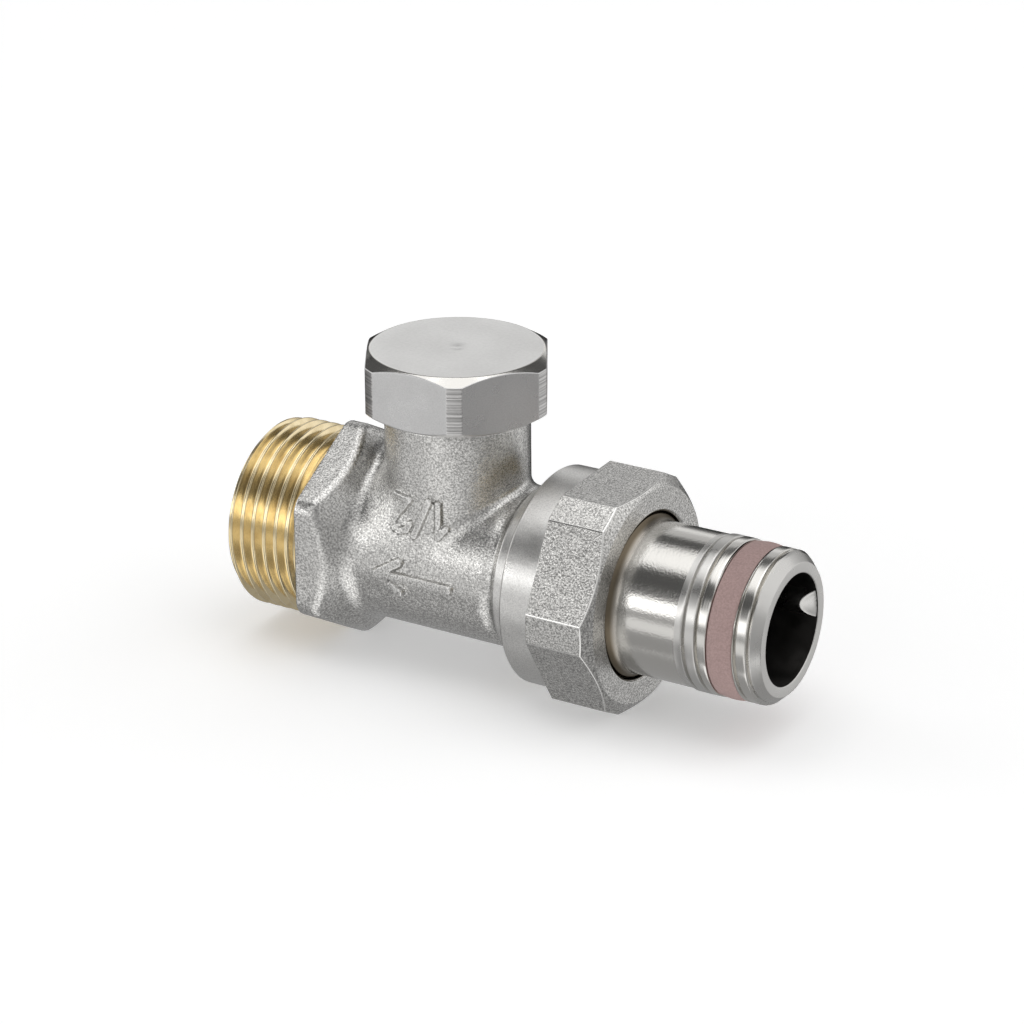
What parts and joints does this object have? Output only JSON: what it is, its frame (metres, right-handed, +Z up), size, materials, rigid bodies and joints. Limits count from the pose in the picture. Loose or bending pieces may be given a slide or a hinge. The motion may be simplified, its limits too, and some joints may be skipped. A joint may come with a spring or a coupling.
{
  "type": "straight radiator valve",
  "caption": "Straight return valve with a threaded inlet, a hex-capped adjusting spindle and a union tail with a sealing ring.",
  "frame": {"origin": "centre of the inlet's end face, on the pipe axis", "axes": "+X along the pipe from the inlet to the tail, +Z up along the cap's axis, -X out of the inlet"},
  "size_m": [0.0797, 0.0324, 0.0445],
  "materials": {
    "body_nickel": "nickel-plated brass forging, blasted satin",
    "cap_nickel": "nickel-plated brass, turned and fine blasted",
    "nut_nickel": "nickel-plated brass, blasted satin",
    "tail_nickel": "nickel-plated brass, turned bright",
    "turned_brass": "bare turned brass",
    "spring_steel": "oiled spring steel",
    "black_rubber": "moulded black rubber",
    "pink_seal": "matt pink-brown sealing ring"
  },
  "bodies": {
    "body": {"valve_body": "body_nickel", "bonnet_insert": "turned_brass", "bonnet_o_ring": "black_rubber", "retaining_ring": "spring_steel"},
    "cap_gasket": {"cap_seal": "black_rubber"},
    "cap": {"cap": "cap_nickel"},
    "spindle_rings": {"spindle_o_ring": "black_rubber", "seat_o_ring": "black_rubber"},
    "spindle": {"spindle": "turned_brass"},
    "tail": {"tailpiece": "tail_nickel", "tail_seal_ring": "pink_seal"},
    "nut": {"union_nut": "nut_nickel"}
  },
  "joints": [
    {"name": "cap_lift", "type": "slide", "parent": "body", "child": "cap_gasket", "axis": [0, 0, 1], "range_m": [0, 0.0045]},
    {"name": "cap_turn", "type": "hinge", "parent": "cap_gasket", "child": "cap", "pos_m": [0.0294, 0, 0.025], "axis": [0, 0, 1], "range_deg": [0, 1080]},
    {"name": "spindle_lift", "type": "slide", "parent": "body", "child": "spindle_rings", "axis": [0, 0, 1], "range_m": [-0.004, 0]},
    {"name": "spindle_turn", "type": "hinge", "parent": "spindle_rings", "child": "spindle", "pos_m": [0.0294, 0, 0.015], "axis": [0, 0, 1], "range_deg": [-1440, 0]},
    {"name": "tail_pull", "type": "slide", "parent": "body", "child": "tail", "axis": [1, 0, 0], "range_m": [0, 0.00726]},
    {"name": "nut_turn", "type": "hinge", "parent": "tail", "child": "nut", "pos_m": [0.051, 0, 0], "axis": [1, 0, 0], "range_deg": [0, 1440]}
  ],
  "couplings": [
    {"joint": "cap_lift", "follows": "cap_turn", "m_per_rad": 0.00023873},
    {"joint": "spindle_lift", "follows": "spindle_turn", "m_per_rad": 0.00015915},
    {"joint": "tail_pull", "follows": "nut_turn", "m_per_rad": 0.00028871}
  ]
}
